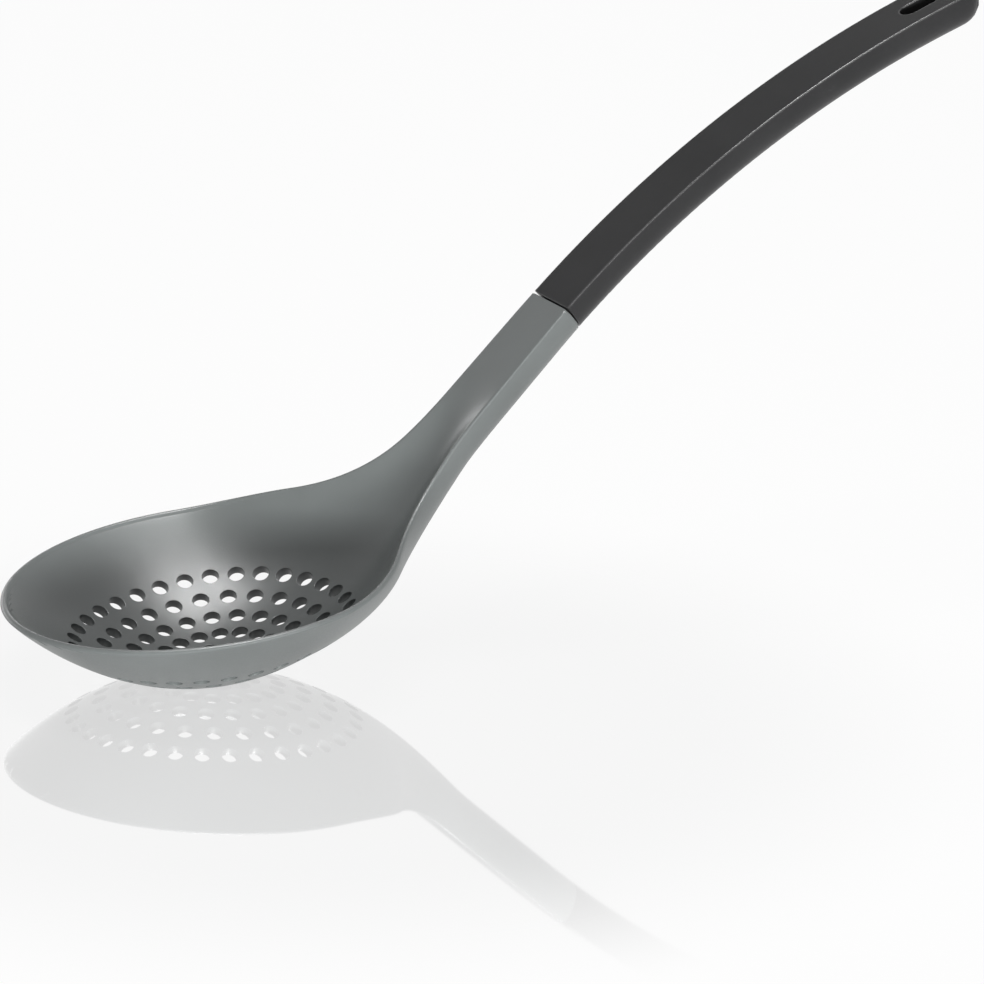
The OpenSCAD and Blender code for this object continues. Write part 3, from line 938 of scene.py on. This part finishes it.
NYLON = MouldedPlastic(
    name="grey_nylon",
    low=(0.075, 0.082, 0.081),
    high=(0.086, 0.094, 0.093),
    rough=(0.33, 0.39),
    specular=0.5,
    grain=0.0005,
)
GRIP_BLACK = MouldedPlastic(
    name="grip_black",
    low=(0.0165, 0.0165, 0.017),
    high=(0.0215, 0.0215, 0.022),
    rough=(0.29, 0.36),
    specular=0.08,
    grain=0.0004,
    edge_polish=0.8,
)
CORE_BLACK = MouldedPlastic(
    name="core_black",
    low=(0.012, 0.012, 0.012),
    high=(0.018, 0.018, 0.018),
    rough=(0.5, 0.6),
    specular=0.4,
    grain=0.0004,
)


class Use(Enum):
    """What a studio lamp is for: to light all surfaces, or to be seen in the gloss of the spoon alone."""

    LIGHT = "light"
    GLOSS = "gloss"


@dataclass(frozen=True)
class SoftBox:
    """A rectangular studio lamp that faces one point. Lengths are in metres, the power is in watts."""

    name: str
    place: Triple
    aim: Triple
    size: Pair
    power: float
    use: Use

    def hang(self, spoon: bpy.types.Collection) -> None:
        """Put the lamp in the scene. Nothing but the spoon stops its light.

        Args:
            spoon: The pieces in whose gloss a lamp may be seen.
        """
        lamp = bpy.data.lights.new(self.name, "AREA")
        lamp.shape = "RECTANGLE"
        lamp.size, lamp.size_y = self.size
        lamp.energy = self.power
        holder = put(self.name, lamp)
        holder.location = self.place
        holder.visible_diffuse = self.use is Use.LIGHT
        holder.visible_glossy = self.use is Use.GLOSS
        holder.light_linking.blocker_collection = spoon
        if self.use is Use.GLOSS:
            holder.light_linking.receiver_collection = spoon
        way = Vector(self.aim) - Vector(self.place)
        holder.rotation_euler = way.to_track_quat("-Z", "Y").to_euler()


@dataclass
class Studio:
    """Floor, light and camera, as in the photograph.

    Attributes:
        tip: The bowl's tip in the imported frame, in millimetres.
        dip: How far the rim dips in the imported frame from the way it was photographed.
        tip_height: Height of the tip above the ground in the photograph's view, in millimetres.
        azimuth: Direction of the view, from +Y towards +X.
        height: Angle by which the view looks down.
        aim: How far the picture's middle lies to the right of and above the ground under the tip, and how far
            the camera is from it, in millimetres.
        lens, sensor: Focal length, and width of the sensor, in millimetres.
        clip: Nearest and farthest distance that is seen, in metres.
        fill: Strength of the even light from all sides.
        whiteness: Share of plain white in the floor as it is seen.
        mirror: Share of the floor's mirror image, where it is strongest.
        mirror_rough: Roughness of that image.
        mirror_middle: Middle of that image, from the ground under the tip, in metres.
        mirror_reach: Distances from there at which the image starts to fade and ends.
        bowl_aim: Point of the bowl that lamps face, from the ground under the tip, in metres.
        neck_aim, rim_aim: Points on the neck and near the rim that lamps face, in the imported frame.
    """

    tip: Triple
    dip: float
    tip_height: float = 24.18
    azimuth: float = math.radians(29.08)
    height: float = math.radians(18.44)
    aim: Triple = (128.79, 59.65, 2160.0)
    lens: float = 289.8
    sensor: float = 36.0
    clip: Pair = (0.1, 50.0)
    fill: float = 0.2
    floor_half: float = 6.0
    floor_tone: float = 0.94
    whiteness: float = 0.94
    mirror: float = 0.33
    mirror_rough: float = 0.03
    mirror_middle: Triple = (0.06, -0.055, 0.0)
    mirror_reach: Pair = (0.095, 0.205)
    bowl_aim: Triple = (0.06, 0.0, 0.02)
    neck_aim: Triple = (0.0, 0.0, 0.06)
    rim_aim: Triple = (-0.05, 0.0, 0.045)

    def camera(self) -> None:
        """Set up the camera from the photograph's view of the spoon."""
        sa, ca = math.sin(self.azimuth), math.cos(self.azimuth)
        se, ce = math.sin(self.height), math.cos(self.height)
        right, up = Vector((ca, -sa, 0)), Vector((sa * se, ca * se, ce))
        ahead = Vector((sa * ce, ca * ce, -se))
        data = bpy.data.cameras.new("view")
        data.sensor_fit, data.sensor_width, data.lens = "HORIZONTAL", self.sensor, self.lens
        data.clip_start, data.clip_end = self.clip
        view = put("view", data)
        turn = Matrix.Rotation(self.dip, 3, "Y")
        seen_from = self.aim[0] * right + self.aim[1] * up - self.aim[2] * ahead
        seen_from -= Vector((0, 0, self.tip_height))
        view.location = (Vector(self.tip) + turn @ seen_from) * MM
        view.rotation_euler = (turn @ Matrix((right, up, -ahead)).transposed()).to_euler()
        bpy.context.scene.camera = view

    def seen(self, tree: bpy.types.NodeTree) -> bpy.types.NodeSocket:
        """Return a socket that is 1 on rays that show the background: straight, mirrored or through glass."""
        path = add_node(tree, "LightPath", {})
        seen = path.outputs["Is Camera Ray"]
        for kind in ("Is Glossy Ray", "Is Transmission Ray"):
            either = add_node(tree, "Math", {})
            either.operation = "MAXIMUM"
            tree.links.new(seen, either.inputs[0])
            tree.links.new(path.outputs[kind], either.inputs[1])
            seen = either.outputs["Value"]
        return seen

    def world(self) -> None:
        """Light the scene evenly, and show plain white behind it."""
        world = bpy.data.worlds.new("studio")
        bpy.context.scene.world = world
        world.use_nodes = True
        tree = world.node_tree
        base = tree.nodes["Background"]
        base.inputs["Color"].default_value = WHITE
        base.inputs["Strength"].default_value = self.fill
        white = add_node(tree, "Background", {"Strength": 1.0})
        sky = mix_shaders(tree, self.seen(tree), base.outputs["Background"], white.outputs["Background"])
        tree.links.new(sky, tree.nodes["World Output"].inputs["Surface"])

    def floor(self, drop: float) -> bpy.types.Object:
        """Make the pale floor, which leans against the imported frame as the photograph's floor does.

        Args:
            drop: How far the bowl reaches below its tip as it was photographed, in millimetres.

        Returns:
            The floor.
        """
        bm = bmesh.new()
        bmesh.ops.create_grid(bm, x_segments=1, y_segments=1, size=self.floor_half)
        floor = put_mesh("floor", bm)
        floor.data.materials.append(self.floor_material())
        turn = Matrix.Rotation(self.dip, 3, "Y")
        floor.location = (Vector(self.tip) - turn @ Vector((0.0, 0.0, drop))) * MM
        floor.rotation_euler = turn.to_euler()
        return floor

    def floor_material(self) -> bpy.types.Material:
        """Return the floor's white, which keeps the spoon's shadow and a faint mirror image."""
        mat = bpy.data.materials.new("floor_white")
        mat.use_nodes = True
        tree, links = mat.node_tree, mat.node_tree.links
        tree.nodes.remove(tree.nodes["Principled BSDF"])
        matt = add_node(tree, "BsdfDiffuse", {"Color": (*[self.floor_tone] * 3, 1.0)})
        white = add_node(tree, "Emission", {"Strength": 1.0})
        share = add_node(tree, "Math", {1: self.whiteness})
        share.operation = "MULTIPLY"
        links.new(self.seen(tree), share.inputs[0])
        pale = mix_shaders(tree, share.outputs["Value"], matt.outputs["BSDF"], white.outputs["Emission"])
        shine = add_node(tree, "BsdfGlossy", {"Color": WHITE, "Roughness": self.mirror_rough})
        place = add_node(tree, "TexCoord", {})
        away = add_node(tree, "VectorMath", {1: self.mirror_middle})
        away.operation = "DISTANCE"
        links.new(place.outputs["Object"], away.inputs[0])
        fade = map_range(tree, self.mirror_reach, (self.mirror, 0.0))
        fade.interpolation_type = "SMOOTHSTEP"
        links.new(away.outputs["Value"], fade.inputs["Value"])
        top = mix_shaders(tree, fade.outputs["Result"], pale, shine.outputs["BSDF"])
        links.new(top, tree.nodes["Material Output"].inputs["Surface"])
        return mat

    def lamps(self, pieces: list[bpy.types.Object]) -> None:
        """Hang the lamps.

        Args:
            pieces: The spoon's pieces, in whose gloss lamps are seen.
        """
        spoon = bpy.data.collections.new("spoon")
        for piece in pieces:
            spoon.objects.link(piece)
        bowl = (self.tip[0] * MM + self.bowl_aim[0], *self.bowl_aim[1:])
        neck, rim = self.neck_aim, self.rim_aim
        for box in (
            SoftBox("overhead", (0.17, 0.05, 1.2), bowl, (0.7, 0.4), 6.5, Use.LIGHT),
            SoftBox("overhead_sheen", (0.17, 0.05, 1.2), bowl, (0.7, 0.4), 7.5, Use.GLOSS),
            SoftBox("overhead_glint", (0.17, 0.13, 1.2), bowl, (0.45, 0.33), 8.5, Use.GLOSS),
            SoftBox("front", (-0.55, -1.15, 0.125), rim, (1.2, 0.14), 42.0, Use.LIGHT),
            SoftBox("front_strip", (0.1, -1.15, 0.65), neck, (1.4, 0.16), 10.0, Use.GLOSS),
            SoftBox("back_strip", (0.0, 1.4, 0.24), neck, (1.8, 0.22), 4.5, Use.GLOSS),
        ):
            box.hang(spoon)


def clothe(piece: bpy.types.Object, finish: MouldedPlastic) -> None:
    """Give an object one material in place of all it has."""
    piece.data.materials.clear()
    piece.data.materials.append(finish.material())


def main() -> None:
    """Build the spoon, dress it and set up the studio."""
    logging.basicConfig(level=logging.INFO, format="%(name)s: %(message)s")
    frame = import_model()
    tip_x = float(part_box("spoon_head")[0][0])

    line = TopLine()
    lift = SpoonHead(line, Stance(STAND_TILT, 0.0, 0.0)).floor_drop()
    stance = Stance(STAND_TILT, tip_x / MM, lift)

    head = SpoonHead(line, stance).build("nylon_head")
    clothe(head, NYLON)
    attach(head, "root")
    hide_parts("spoon_head")

    grip = Grip(line, stance).build("black_grip")
    clothe(grip, GRIP_BLACK)
    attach(grip, "root")
    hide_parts("handle_skin")

    core = frame["nodes"]["handle_core"]
    clothe(core, CORE_BLACK)

    studio = Studio((tip_x / MM, 0.0, lift), PHOTO_TILT - STAND_TILT)
    studio.camera()
    studio.world()
    studio.lamps([head, grip, core])
    studio.floor(SpoonHead(line, Stance(PHOTO_TILT, 0.0, 0.0)).floor_drop())
    bpy.context.scene.view_settings.view_transform = "Standard"


if __name__ == "__main__":
    main()
